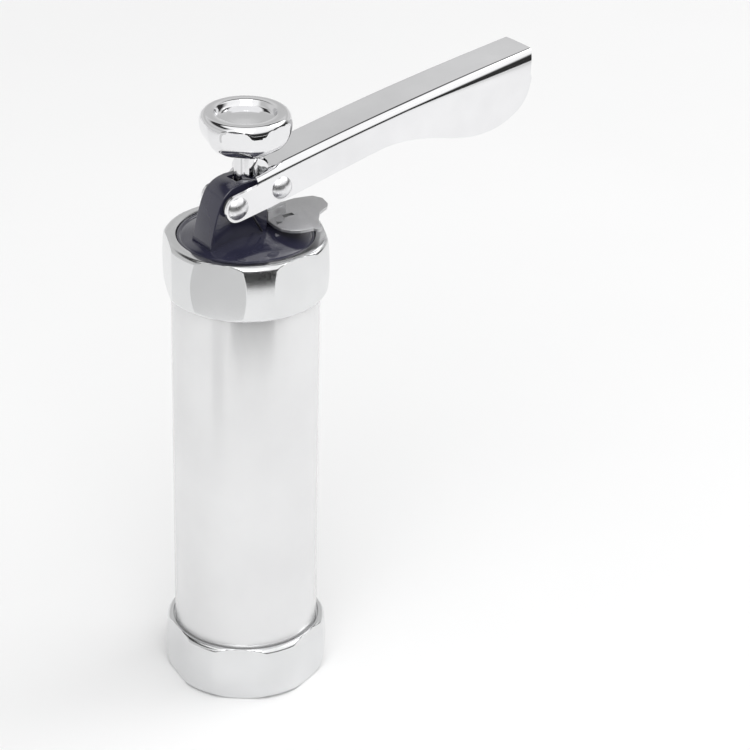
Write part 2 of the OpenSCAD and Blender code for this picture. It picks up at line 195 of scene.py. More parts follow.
def turn_with_creases(creases, window=4.0, fine=0.25, coarse=2.0):
    """Azimuths spaced closely round each crease, which is given in degrees."""
    found = set(np.round(np.arange(0, 360, coarse), 3))
    for crease in creases:
        found |= set(np.round((crease + np.arange(-window, window + fine / 2, fine)) % 360, 3))
    kept = []
    for angle in sorted(found):
        if not kept or angle - kept[-1] > fine * 0.6:
            kept.append(angle)
    return np.radians(kept)


def soft_min(a, b, blend):
    """The smaller of two lengths, with the crease between them rounded over a width."""
    h = np.maximum(blend - np.abs(a - b), 0) / blend
    return np.minimum(a, b) - h * h * blend / 4


def flats_at(first, apothem, blend):
    """radius_at for six flats: the first one's azimuth in degrees, apothem(z), and the crease."""
    def radius_at(radius, z, azimuths):
        turned = (np.degrees(azimuths) - first + 30) % 60 - 30
        return soft_min(np.full(len(azimuths), radius), apothem(z) / np.cos(np.radians(turned)), blend)
    return radius_at


def smooth_curve(points, steps):
    """Catmull-Rom curve through points, with a number of steps per span."""
    points = np.array(points, float)
    padded = np.vstack([2 * points[0] - points[1], points, 2 * points[-1] - points[-2]])
    out = []
    for i in range(len(points) - 1):
        p0, p1, p2, p3 = padded[i:i + 4]
        for k in range(steps):
            t = k / steps
            out.append(0.5 * (2 * p1 + (p2 - p0) * t + (2 * p0 - 5 * p1 + 4 * p2 - p3) * t * t
                              + (3 * p1 - p0 - 3 * p2 + p3) * t ** 3))
    out.append(points[-1])
    return np.array(out)


def sweep(points, radius, sides=12):
    """Round wire along points, with flat ends."""
    points = np.array(points, float)
    tangents = np.gradient(points, axis=0)
    tangents /= np.linalg.norm(tangents, axis=1)[:, None]
    side = np.cross(tangents[0], [0.3, 0.2, 0.9])
    verts = []
    for point, tangent in zip(points, tangents):
        side = side - tangent * (side @ tangent)
        side /= np.linalg.norm(side)
        up = np.cross(tangent, side)
        for a in full_turn(sides):
            verts.append(point + radius * (math.cos(a) * side + math.sin(a) * up))
    faces = []
    for i in range(len(points) - 1):
        for k in range(sides):
            a, b = i * sides + k, i * sides + (k + 1) % sides
            faces.append((a, b, b + sides, a + sides))
    faces.append(tuple(range(sides)))
    faces.append(tuple((len(points) - 1) * sides + k for k in range(sides)))
    return verts, faces


def prism_rings(outline, levels):
    """Vertices and faces of an outline carried through levels of (offset inwards, height).

    The outline is a closed list of (x, y), and both ends are filled.
    """
    points = np.array(outline, float)
    ahead = np.roll(points, -1, 0) - points
    ahead /= np.linalg.norm(ahead, axis=1)[:, None]
    back = np.roll(ahead, 1, 0)
    area = 0.5 * np.sum(points[:, 0] * np.roll(points[:, 1], -1) - np.roll(points[:, 0], -1) * points[:, 1])
    turn = 1 if area > 0 else -1
    normal = lambda d: turn * np.stack([-d[:, 1], d[:, 0]], 1)
    inward = normal(ahead) + normal(back)
    inward /= np.maximum(np.sum(inward * normal(ahead), 1), 0.3)[:, None]
    n = len(points)
    verts = []
    for offset, height in levels:
        for x, y in points + inward * offset:
            verts.append((x, y, height))
    faces = []
    for i in range(len(levels) - 1):
        for k in range(n):
            a, b = i * n + k, i * n + (k + 1) % n
            faces.append((a, b, b + n, a + n))
    faces.append(tuple(range(n)))
    faces.append(tuple((len(levels) - 1) * n + k for k in range(n)))
    return verts, faces


def edge_levels(low, high, radius, steps=4):
    """Levels for prism_rings whose two rims are rounded."""
    levels = []
    for k in range(steps + 1):
        a = math.pi / 2 * k / steps
        levels.append((radius * (1 - math.sin(a)), low + radius * (1 - math.cos(a))))
    for k in range(steps + 1):
        a = math.pi / 2 * (1 - k / steps)
        levels.append((radius * (1 - math.sin(a)), high - radius * (1 - math.cos(a))))
    return levels


def upright(verts):
    """Turns an outline drawn in X and Z and extruded along the third axis onto the row frame."""
    return [(x, -h, z) for x, z, h in verts]


def about_y(verts, centre):
    """Turns a shape made about Z so that its axis lies along Y through a point."""
    return [(centre[0] + x, y_along, centre[2] + y) for x, y, y_along in verts]


# ---------------------------------------------------------------- materials

def new_material(name):
    """A node material: (material, nodes, link function, shader)."""
    material = bpy.data.materials.new(name)
    material.use_nodes = True
    nodes = material.node_tree.nodes
    return material, nodes, material.node_tree.links.new, nodes["Principled BSDF"]


def noise(nodes, link, scale, detail=4.0, stretch=(1, 1, 1)):
    """A noise texture in object space, in waves per metre, stretched along the axes."""
    where = nodes.new("ShaderNodeTexCoord")
    mapping = nodes.new("ShaderNodeMapping")
    mapping.inputs["Scale"].default_value = stretch
    texture = nodes.new("ShaderNodeTexNoise")
    texture.inputs["Scale"].default_value = scale
    texture.inputs["Detail"].default_value = detail
    link(where.outputs["Object"], mapping.inputs["Vector"])
    link(mapping.outputs["Vector"], texture.inputs["Vector"])
    return texture.outputs["Fac"]


def spread(nodes, link, value, low, high):
    """Maps a 0.3 to 0.7 noise onto a range."""
    ramp = nodes.new("ShaderNodeMapRange")
    ramp.inputs["From Min"].default_value = 0.3
    ramp.inputs["From Max"].default_value = 0.7
    ramp.inputs["To Min"].default_value = low
    ramp.inputs["To Max"].default_value = high
    link(value, ramp.inputs["Value"])
    return ramp.outputs["Result"]


def tint(nodes, link, value, dark, light):
    """A colour between two, by a 0.3 to 0.7 noise."""
    mix = nodes.new("ShaderNodeMix")
    mix.data_type = "RGBA"
    mix.inputs[6].default_value = (*dark, 1)
    mix.inputs[7].default_value = (*light, 1)
    link(spread(nodes, link, value, 0, 1), mix.inputs["Factor"])
    return mix.outputs[2]


def bump(nodes, link, shader, height, strength, distance):
    """Adds a height to the shader's normal."""
    node = nodes.new("ShaderNodeBump")
    node.inputs["Strength"].default_value = strength
    node.inputs["Distance"].default_value = distance
    link(height, node.inputs["Height"])
    link(node.outputs["Normal"], shader.inputs["Normal"])


def metal(name, dark, light, rough, grain=900, grain_stretch=(1, 1, 1), depth=0.000004, strength=0.15,
          patch=60, metallic=1.0):
    """Bare metal: a fine grain, with patches of slightly different colour and polish."""
    material, nodes, link, shader = new_material(name)
    patches = noise(nodes, link, patch)
    fine = noise(nodes, link, grain, 3.0, grain_stretch)
    shader.inputs["Metallic"].default_value = metallic
    link(tint(nodes, link, patches, dark, light), shader.inputs["Base Color"])
    link(spread(nodes, link, fine, *rough), shader.inputs["Roughness"])
    bump(nodes, link, shader, fine, strength, depth)
    return material


def plastic(name, dark, light, rough, grain=700, depth=0.00001, strength=0.1, coat=0.0):
    """Moulded plastic with a faint orange peel."""
    material, nodes, link, shader = new_material(name)
    patches = noise(nodes, link, 90)
    fine = noise(nodes, link, grain, 2.0)
    link(tint(nodes, link, patches, dark, light), shader.inputs["Base Color"])
    link(spread(nodes, link, patches, *rough), shader.inputs["Roughness"])
    shader.inputs["Coat Weight"].default_value = coat
    shader.inputs["Coat Roughness"].default_value = 0.04
    bump(nodes, link, shader, fine, strength, depth)
    return material


MATERIALS = {
    "barrel": metal("barrel_aluminium", (0.77, 0.77, 0.775), (0.83, 0.83, 0.835), (0.19, 0.27),
                    grain=1500, grain_stretch=(1, 1, 0.04), patch=25, metallic=0.55),
    "ring": metal("ring_aluminium", (0.72, 0.725, 0.73), (0.78, 0.785, 0.79), (0.13, 0.22), grain=2400,
                  strength=0.25),
    "disc": metal("disc_steel", (0.56, 0.56, 0.57), (0.66, 0.66, 0.67), (0.28, 0.42), grain=1800),
    "head": plastic("head_navy", (0.022, 0.022, 0.042), (0.032, 0.032, 0.056), (0.10, 0.17), coat=0.6),
    "bush": metal("bush_brass", (0.62, 0.48, 0.22), (0.74, 0.58, 0.30), (0.2, 0.35), grain=1500),
    "spring": metal("spring_steel", (0.55, 0.55, 0.57), (0.70, 0.70, 0.72), (0.16, 0.26), grain=2000),
    "spring_dark": metal("spring_oiled", (0.05, 0.05, 0.055), (0.09, 0.09, 0.095), (0.25, 0.35), grain=2000),
    "lever": metal("lever_chrome", (0.80, 0.80, 0.81), (0.86, 0.86, 0.87), (0.05, 0.09), grain=500,
                   strength=0.03),
    "rivet": metal("rivet_chrome", (0.78, 0.78, 0.79), (0.86, 0.86, 0.87), (0.26, 0.34), grain=700,
                   strength=0.05),
    "zinc": metal("zinc_steel", (0.50, 0.51, 0.52), (0.62, 0.63, 0.64), (0.24, 0.38), grain=1600),
    "selector": metal("selector_steel", (0.54, 0.54, 0.55), (0.62, 0.62, 0.625), (0.36, 0.5), grain=1900,
                      strength=0.25),
    "rod": metal("rod_chrome", (0.78, 0.78, 0.79), (0.86, 0.86, 0.87), (0.07, 0.13), grain=900,
                 grain_stretch=(1, 1, 0.1), strength=0.05),
    "knob": metal("knob_chrome", (0.80, 0.80, 0.81), (0.86, 0.86, 0.87), (0.04, 0.08), grain=500,
                  strength=0.03),
    "piston": plastic("piston_white", (0.74, 0.74, 0.70), (0.80, 0.80, 0.77), (0.35, 0.5)),
}


# ---------------------------------------------------------------- barrel and ring nuts

def barrel_tube():
    inner = TUBE_R - TUBE_WALL
    z0, z1 = TUBE_LOW[2], TUBE_HIGH[2]
    profile = rounded([(inner, z0, 0.3), (TUBE_R, z0, 0.4), (TUBE_R, z1, 0.4), (inner, z1, 0.3)], 3)
    verts, faces = revolve(profile, full_turn(240))
    make_mesh("tube_shell", verts, faces, MATERIALS["barrel"], "barrel", "barrel_aluminium",
              ["barrel_tube"])


def bulge(z, z0):
    """Outer radius of a ring nut at a height."""
    across = z - z0 - RING_H / 2
    return RING_R - RING_BULGE + math.sqrt(RING_BULGE ** 2 - across ** 2)


def ring_outside(z0, low_r=2.6, high_r=1.9):
    """The ring's outer profile from its lower face to its upper one."""
    top = z0 + RING_H
    low_mid, high_mid = bulge(z0 + low_r, z0) - low_r, bulge(top - high_r, z0) - high_r
    side = [(bulge(z, z0), z) for z in np.linspace(z0 + low_r, top - high_r, 22)]
    return (arc((low_mid, z0 + low_r), low_r, -90, -8, 9) + side
            + arc((high_mid, top - high_r), high_r, 8, 90, 7))


def ring_mesh(name, profile, z0, first, body, node):
    """A ring nut: its profile turned about the axis and cut by six grip flats."""
    mid = z0 + RING_H / 2
    apothem = lambda z: RING_FLAT - RING_FLAT_CURVE + math.sqrt(RING_FLAT_CURVE ** 2 - (z - mid) ** 2)
    half = math.degrees(math.acos(RING_FLAT / RING_R))
    creases = [first + 60 * k + side * half for k in range(6) for side in (-1, 1)]
    verts, faces = revolve(profile, turn_with_creases(creases), flats_at(first, apothem, 0.1))
    make_mesh(name, verts, faces, MATERIALS["ring"], body, "ring_aluminium", [node])


def top_ring_nut():
    z1 = TOP_RING_Z + RING_H
    lip = TUBE_HIGH[2] + 2.3
    inside = [(24.95, z1), (24.7, z1 - 0.1), (24.6, z1 - 0.35), (24.6, lip), (TUBE_R + 0.05, lip),
              (TUBE_R + 0.05, TOP_RING_Z + 0.6), (TUBE_R + 0.25, TOP_RING_Z + 0.15)]
    ring_mesh("ring_top_body", ring_outside(TOP_RING_Z) + inside, TOP_RING_Z, -145.7, "top_ring",
              "top_ring_nut")


def bottom_ring_nut():
    recess_r = TUBE_R + 0.5
    floor = RING_H - 1.4
    inside = [(recess_r + 0.2, RING_H), (recess_r, RING_H - 0.25), (recess_r, floor),
              (TUBE_R + 0.05, floor), (TUBE_R + 0.05, 2.5), (22.8, 2.5), (22.5, 2.2), (22.5, 0.3),
              (22.8, 0.0)]
    ring_mesh("ring_bottom_body", ring_outside(0.0) + inside, 0.0, -130, "bottom_ring",
              "bottom_ring_nut")


# ---------------------------------------------------------------- head

def head_disc():
    """Dome, raised rim, flange and plug of the head, turned about the barrel's axis."""
    dome_edge, dome_z, dome_h = 23.0, TOP - 0.4, 3.0
    dome_r = (dome_edge ** 2 + dome_h ** 2) / (2 * dome_h)
    hole = ROD_R + 0.3
    dome = [(r, dome_z + dome_h - dome_r + math.sqrt(dome_r ** 2 - r ** 2))
            for r in np.linspace(hole, dome_edge - 0.35, 26)]
    rim = [(dome_edge - 0.1, dome_z - 0.02), (dome_edge + 0.1, dome_z + 0.1), (dome_edge + 0.3, TOP - 0.1),
           (dome_edge + 0.55, TOP), (23.9, TOP - 0.02), (24.15, TOP - 0.12), (24.3, TOP - 0.35)]
    seat = TUBE_HIGH[2]
    below = [(24.3, seat + 2.2), (26.0, seat + 2.2), (26.0, seat), (24.7, seat), (24.7, TOP - 13),
             (22.2, TOP - 13), (22.2, seat), (9, seat), (9, TOP - 13), (6.5, TOP - 13),
             (6.5, TOP + 1), (hole, TOP + 1)]
    verts, faces = revolve(dome + rim + below, full_turn(200))
    return make_mesh("head_dome", verts, faces, MATERIALS["head"], "barrel", "head_plastic",
                     ["head_cover"])


def tower_outline():
    """Side view of the lever tower: a leaning back, a crease, and a cap that curves into the top."""
    front = 5.4
    back = [(-19.6, -2), (-19.2, 1), (-18.3, 5), (-17.1, 9.5), (-15.6, 14.2), (-14.4, 17), (-13.3, 19)]
    rise = TOWER_TOP - TOP
    cap = [(-13.3, 19), (-12, rise - 2.4), (-10.2, rise - 1.2), (-8, rise - 0.4), (-5.5, rise)]
    curve = list(smooth_curve(back, 3))[:-1] + list(smooth_curve(cap, 3))
    return ([(front, TOP - 1.5), (-19.5, TOP - 1.5)] + [(x, min(z + TOP, TOWER_TOP)) for x, z in curve[3:]]
            + [(front - 0.3, TOWER_TOP), (front, TOWER_TOP - 0.3)])


def cut(obj, verts, faces):
    """Cuts a closed shape out of an object, exactly."""
    mesh = bpy.data.meshes.new("cutter")
    mesh.from_pydata([tuple(c * MM for c in v) for v in verts], [], [tuple(f) for f in faces])
    work = bmesh.new()
    work.from_mesh(mesh)
    bmesh.ops.recalc_face_normals(work, faces=work.faces)
    work.to_mesh(mesh)
    work.free()
    cutter = bpy.data.objects.new("cutter", mesh)
    bpy.context.scene.collection.objects.link(cutter)
    modifier = obj.modifiers.new("cut", "BOOLEAN")
    modifier.operation = "DIFFERENCE"
    modifier.solver = "EXACT"
    modifier.object = cutter
    bpy.context.view_layer.update()
    made = bpy.data.meshes.new_from_object(obj.evaluated_get(bpy.context.evaluated_depsgraph_get()))
    obj.modifiers.clear()
    obj.data = made
    bpy.data.objects.remove(cutter)


def head_tower():
    levels = edge_levels(-TOWER_HALF, TOWER_HALF, 0.45)
    verts, faces = prism_rings(tower_outline(), levels)
    tower = make_mesh("head_tower", upright(verts), faces, MATERIALS["head"], "barrel", "head_plastic")
    slot_r = ROD_R + 0.3
    slot = [(slot_r * math.cos(a), slot_r * math.sin(a)) for a in np.radians(np.linspace(90, 270, 25))]
    slot = slot + [(12, -slot_r), (12, slot_r)]
    cut(tower, *prism_rings(slot, [(0, TOP + 2), (0, TOP + 40)]))
    pocket = [(-6.2, -2.8), (-3, -2.8), (-3, 2.8), (-6.2, 2.8)]
    cut(tower, *prism_rings(pocket, [(0, TOP + 9), (0, TOP + 40)]))
    tower.data.shade_smooth()
    tower.data.set_sharp_from_angle(angle=math.radians(35))


def head_boss():
    verts, faces = revolve([(1.6, TOP - 13), (4.2, TOP - 13), (4.2, TOP + 3.1), (3.9, TOP + 3.4),
                            (1.6, TOP + 3.4)], full_turn(48))
    verts = [(x + SELECTOR[0], y + SELECTOR[1], z) for x, y, z in verts]
    make_mesh("head_boss", verts, faces, MATERIALS["head"], "barrel", "head_plastic")


def brake_spring():
    bow = smooth_curve([(-5.5, 9), (-5.1, 12), (-4.25, 15.5), (-4.9, 19), (-5.4, 22)], 4)
    bow = [(x, TOP + z) for x, z in bow]
    outline = bow + [(x - 0.6, z) for x, z in reversed(bow)]
    verts, faces = prism_rings(outline, edge_levels(-2, 2, 0.12, 2))
    make_mesh("brake_leaf", upright(verts), faces, MATERIALS["spring"], "barrel", "spring_steel",
              ["rod_brake_spring"])


# ---------------------------------------------------------------- lever

WEB_SLOPE, WEB_ARC_R = math.atan(0.19), 1500.0
WEB_ARC = (WEB_ARC_R * math.sin(WEB_SLOPE), TOP + 25.45 - WEB_ARC_R * math.cos(WEB_SLOPE))


def web_z(x):
    """Upper face of the lever's web, which bends down very slightly towards the tip."""
    return WEB_ARC[1] + math.sqrt(WEB_ARC_R ** 2 - (x - WEB_ARC[0]) ** 2)


def bend_depth(x):
    """Height of the bend, which opens out towards the tip."""
    return LEVER_BEND + 6.0 * max(0.0, (x - 62) / 62) ** 1.6


def lever_layer(x, side, inside):
    """Points of the sheet's surface at a station, from the flange's top to the middle of the web."""
    sheet = LEVER_SHEET if inside else 0.0
    wide, deep = LEVER_BEND - sheet, bend_depth(x) - sheet
    top = web_z(x) - sheet
    straight = LEVER_HALF - LEVER_BEND
    edge = math.sqrt(max(0.0, NOTCH_R ** 2 - x * x)) if x < NOTCH_R else 0.0
    last = math.acos(min(1.0, (edge - straight) / wide)) if edge > straight else math.pi / 2
    points = []
    for k in range(BEND_STEPS + 1):
        a = last * k / BEND_STEPS
        points.append((straight + wide * math.cos(a), top - deep + deep * math.sin(a)))
    start = min(points[-1][0], straight)
    for k in range(1, WEB_STEPS + 1):
        points.append((max(edge, start + (edge - start) * k / WEB_STEPS), top) if edge < straight
                      else points[BEND_STEPS])
    shift = max(0.0, (x - (LEVER_TIP - 8)) / 8)
    return [(x - 1.8 * shift * (y / LEVER_HALF) ** 6, side * y, z) for y, z in points]


NOTCH_R, BEND_STEPS, WEB_STEPS = 7.9, 12, 6
LEVER_LOW = [(5.5, 12.9), (26, 17.0), (42, 20.1), (50, 21.6), (56, 22.5), (61, 22.6), (66.5, 22.2), (72, 21.4),
             (78, 20.2), (85, 18.4), (91, 17.1), (97, 16.4), (103, 16.6), (108, 17.5), (113, 19.4),
             (118, 22.6), (121.3, 27), (123, 33)]


def lever_normal(x, y, z, inside):
    """The sheet's true normal at a point of the bend or the web."""
    sheet = LEVER_SHEET if inside else 0.0
    wide, deep = LEVER_BEND - sheet, bend_depth(x) - sheet
    across = max(0.0, abs(y) - (LEVER_HALF - LEVER_BEND)) / wide
    up = math.sqrt(max(0.0, 1 - min(1.0, across) ** 2))
    n = Vector((0, math.copysign(across / wide, y), up / deep))
    slope = -(x - WEB_ARC[0]) / (web_z(x) - WEB_ARC[1])
    n.x = -n.z * slope
    n.normalize()
    return -n if inside else n


def lever():
    """The lever: one bent sheet, its normals set from its true shape, and the near side's ear."""
    onward = list(np.linspace(9, 50, 16)) + list(np.linspace(53, LEVER_TIP - 8.5, 26))
    onward += list(np.linspace(LEVER_TIP - 8, LEVER_TIP - 0.3, 9))
    columns = BEND_STEPS + WEB_STEPS + 1
    verts, faces, kinds = [], [], []
    for side, front in ((-1, -1.5), (1, FAR_FLANGE_X)):
        stations = [NOTCH_R * math.cos(a) for a in np.linspace(math.acos(front / NOTCH_R), 0, 40)] + onward
        starts = []
        for inside in (False, True):
            starts.append(len(verts))
            for x in stations:
                verts += lever_layer(x, side, inside)
        outer, inner = starts
        for i in range(len(stations) - 1):
            for k in range(columns - 1):
                for start, kind in ((outer, 1), (inner, 2)):
                    a = start + i * columns + k
                    faces.append((a, a + 1, a + columns + 1, a + columns))
                    kinds.append(kind)
            if stations[i] < NOTCH_R - 1e-6:
                k = columns - 1
                faces.append((outer + i * columns + k, outer + (i + 1) * columns + k,
                              inner + (i + 1) * columns + k, inner + i * columns + k))
                kinds.append(0)
        for i in (0, len(stations) - 1):
            for k in range(columns - 1):
                faces.append((outer + i * columns + k, outer + i * columns + k + 1,
                              inner + i * columns + k + 1, inner + i * columns + k))
                kinds.append(0)
        ear = arc((PIVOT[0], PIVOT[2]), EAR_R, 280, 90 + math.degrees(WEB_SLOPE), 32)
        low = [(p[0], TOP + p[1]) for p in smooth_curve(LEVER_LOW, 4)]
        back = ear if side < 0 else [(FAR_FLANGE_X, TOP + 12.2)]
        rim = [(x, z) for x, z in reversed(low)] + back
        rims = []
        for start, y in ((outer, LEVER_HALF), (inner, LEVER_HALF - LEVER_SHEET)):
            first = len(verts)
            verts += [(x, side * y, z) for x, z in rim]
            line = [start + i * columns for i in range(len(stations))]
            faces.append(tuple(line + list(range(first, first + len(rim)))))
            kinds.append(3)
            rims.append([line[-1]] + list(range(first, first + len(rim))) + [line[0]])
        for k in range(len(rims[0]) - 1):
            faces.append((rims[0][k], rims[0][k + 1], rims[1][k + 1], rims[1][k]))
            kinds.append(0)
    mesh = bpy.data.meshes.new("lever_channel")
    mesh.from_pydata([tuple(c * MM for c in v) for v in verts], [], faces)
    mesh.attributes.new("kind", "INT", "FACE").data.foreach_set("value", kinds)
    work = bmesh.new()
    work.from_mesh(mesh)
    bmesh.ops.remove_doubles(work, verts=work.verts, dist=1e-7)
    bmesh.ops.recalc_face_normals(work, faces=work.faces)
    work.to_mesh(mesh)
    work.free()
    mesh.shade_smooth()
    kinds = [item.value for item in mesh.attributes["kind"].data]
    normals = [None] * len(mesh.loops)
    for face in mesh.polygons:
        for index in face.loop_indices:
            kind = kinds[face.index]
            if kind in (1, 2):
                where = mesh.vertices[mesh.loops[index].vertex_index].co / MM
                normals[index] = lever_normal(*where, kind == 2)
            else:
                normals[index] = face.normal.copy()
    mesh.normals_split_custom_set(normals)
    mesh.materials.append(MATERIALS["lever"])
    obj = bpy.data.objects.new("lever_channel", mesh)
    bpy.context.scene.collection.objects.link(obj)
    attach(obj, "lever")
    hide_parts("lever")


def far_ear():
    """The far ear: a strip joggled inwards from the far flange to run beside the tower."""
    outer_y = FAR_EAR_Y + LEVER_SHEET
    flange = LEVER_HALF - 0.9
    joggle = np.array([-2.6, 1.6])
    stations = [PIVOT[0] - FAR_EAR_R * math.cos(a) for a in np.radians(np.linspace(2, 100, 40))]
    stations += list(np.linspace(stations[-1] + 0.6, 4, 22))
    tops = arc((PIVOT[0], PIVOT[2]), FAR_EAR_R, 180, 90 + math.degrees(WEB_SLOPE), 40)
    tops.append((5.0, web_z(5) - LEVER_BEND - 1))
    lows = arc((PIVOT[0], PIVOT[2]), FAR_EAR_R, 180, 280, 40) + [(5.0, TOP + 13.4)]
    verts, faces = [], []
    for x in stations:
        low = np.interp(x, *zip(*lows))
        high = np.interp(x, *zip(*tops))
        inner = np.interp(x, joggle, (FAR_EAR_Y, flange))
        outer = np.interp(x, joggle - 0.6, (outer_y, flange + 0.75))
        verts += [(x, inner, low), (x, outer, low), (x, outer, high), (x, inner, high)]
    for i in range(len(stations) - 1):
        a = 4 * i
        faces += [(a + k, a + (k + 1) % 4, a + 4 + (k + 1) % 4, a + 4 + k) for k in range(4)]
    faces += [(0, 1, 2, 3), tuple(len(verts) - 4 + k for k in range(4))]
    make_mesh("lever_far_ear", verts, faces, MATERIALS["lever"], "lever", "lever_chrome")


def rivet(name, centre, node, body, far=None):
    """A rivet across the lever: domed heads, or on the far side a low one that starts at far."""
    half = LEVER_HALF + 0.05
    head_r, head_h, shank = 4.1, 2.0, 2.25
    dome_r = (head_r ** 2 + head_h ** 2) / (2 * head_h)
    dome = [(r, half + head_h - dome_r + math.sqrt(dome_r ** 2 - r ** 2))
            for r in np.linspace(0, head_r - 0.1, 16)]
    side = dome + [(head_r, half + 0.18), (head_r - 0.15, half), (shank, half)]
    near = [(r, -y) for r, y in reversed(side)]
    if far is not None:
        side = [(0, far + 0.9), (2.9, far + 0.88), (3.25, far + 0.6), (3.3, far), (shank, far)]
    verts, faces = revolve(side + near, full_turn(72), closed=False)
    make_mesh(name, about_y(verts, centre), faces, MATERIALS["rivet"], body, "rivet_chrome", [node])


def collar(name, centre, inner, outer, spans, body, node):
    """Plain sleeves on a pin along Y."""
    verts, faces = [], []
    for y0, y1 in spans:
        profile = rounded([(inner, y0, 0.1), (outer, y0, 0.25), (outer, y1, 0.25), (inner, y1, 0.1)], 3)
        v, f = revolve(profile, full_turn(48))
        start = len(verts)
        verts += about_y(v, centre)
        faces += [tuple(i + start for i in face) for face in f]
    make_mesh(name, verts, faces, MATERIALS["zinc"], body, "zinc_steel", [node])


def torsion_points(centre, radius, y0, y1, a0, a1, leg0, leg1):
    """Centreline of a torsion spring about Y: leg, coil, leg."""
    turns = np.radians(np.arange(a0, a1 + 1, 10.0))
    coil = [(centre[0] + radius * math.cos(a), y0 + (y1 - y0) * (a - turns[0]) / (turns[-1] - turns[0]),
             centre[2] + radius * math.sin(a)) for a in turns]
    first, last = turns[0], turns[-1]
    start = np.array(coil[0]) + leg0 * np.array([math.sin(first), 0, -math.cos(first)])
    end = np.array(coil[-1]) + leg1 * np.array([-math.sin(last), 0, math.cos(last)])
    before = [tuple(start + (np.array(coil[0]) - start) * k / 6) for k in range(6)]
    after = [tuple(np.array(coil[-1]) + (end - np.array(coil[-1])) * k / 6) for k in range(1, 7)]
    return before + coil + after


def springs():
    path = torsion_points(PIVOT, 3.7, -7.9, -6.2, 30, 640, 16, 18.9)
    make_mesh("return_spring_wire", *sweep(path, 0.4), MATERIALS["spring_dark"], "barrel", "spring_steel",
              ["lever_return_spring"])
    path = torsion_points(PAWL, 2.8, -4.75, -3.5, -120, 360, 2.2, 6.9)
    make_mesh("pawl_spring_wire", *sweep(path, 0.25), MATERIALS["spring"], "pawl", "spring_steel",
              ["pawl_spring"])


def feed_pawl():
    nose = ROD_R + 0.45
    hub = arc((PAWL[0], PAWL[2]), 3.6, -90, 135, 24)
    tail = rounded([(7, TOP + 21.8, 0), (nose + 0.3, TOP + 17.4, 0.4), (nose, TOP + 15.4, 0.2),
                    (6, TOP + 15.15, 0)], 3)
    verts, faces = prism_rings(hub + tail, edge_levels(-3, 3, 0.2, 2))
    make_mesh("pawl_body", upright(verts), faces, MATERIALS["zinc"], "pawl", "zinc_steel", ["feed_pawl"])


# ---------------------------------------------------------------- selector

def selector_plate():
    outline = [(6.9, 1), (6.6, -3.4), (5.7, -9.3), (6.1, -12.6), (7.9, -15.7), (10.7, -17.8),
               (14, -18.6), (15.6, -18.8), (16.4, -20.6), (18.4, -20.4), (19.6, -17.2),
               (22, -13.4), (25.6, -9.4), (30.4, -7.2), (32.4, -5.2), (33.6, -0.4),
               (31.9, 3.2), (29.2, 4.2), (25.2, 5.4), (16, 5.4), (12.5, 5.6), (9.6, 5.2), (7.7, 3.7)]
    outline = rounded([(x, y, 0.7) for x, y in outline], 3)
    levels = edge_levels(SELECTOR_Z, SELECTOR_Z + SELECTOR_T, 0.18, 3)
    verts, faces = prism_rings([tuple(p) for p in outline], levels)
    plate = make_mesh("selector_blade", verts, faces, MATERIALS["selector"], "selector", "selector_steel",
                      ["selector_plate"])
    for hole in ([(6.9, -9.2), (8.2, -6.8), (10, -8.6)], [(12.6, -6), (17, -6), (17, -4), (12.6, -4)]):
        cut(plate, *prism_rings(hole, [(0, SELECTOR_Z - 1), (0, SELECTOR_Z + 3)]))
    plate.data.shade_smooth()
    plate.data.set_sharp_from_angle(angle=math.radians(40))
    start, end = np.array([6.4, -3.8]), np.array([15.8, -1.7])
    along = (end - start) / np.linalg.norm(end - start)
    across = np.array([-along[1], along[0]]) * SELECTOR_T / 2
    wall = [tuple(start - across), tuple(end - across), tuple(end + across), tuple(start + across)]
    wall = rounded([(*p, 0.3) for p in wall], 3)
    verts, faces = prism_rings(wall, edge_levels(SELECTOR_Z + 0.1, SELECTOR_Z + SELECTOR_T + 3.2, 0.2, 3))
    make_mesh("selector_wall", verts, faces, MATERIALS["selector"], "selector", "selector_steel")


def selector_pin():
    z = SELECTOR_Z + SELECTOR_T + 0.05
    profile = [(0, z + 1.2), (1.8, z + 1.15), (2.35, z + 0.95), (2.6, z + 0.6), (2.6, z), (1.6, z),
               (1.6, TOP - 13.1), (2.6, TOP - 13.1), (2.6, TOP - 14.4), (0, TOP - 14.4)]
    verts, faces = revolve(profile, full_turn(48), closed=False)
    verts = [(x + SELECTOR[0], y + SELECTOR[1], z) for x, y, z in verts]
    make_mesh("selector_pin", verts, faces, MATERIALS["zinc"], "barrel", "zinc_steel", ["selector_rivet"])


# ---------------------------------------------------------------- plunger

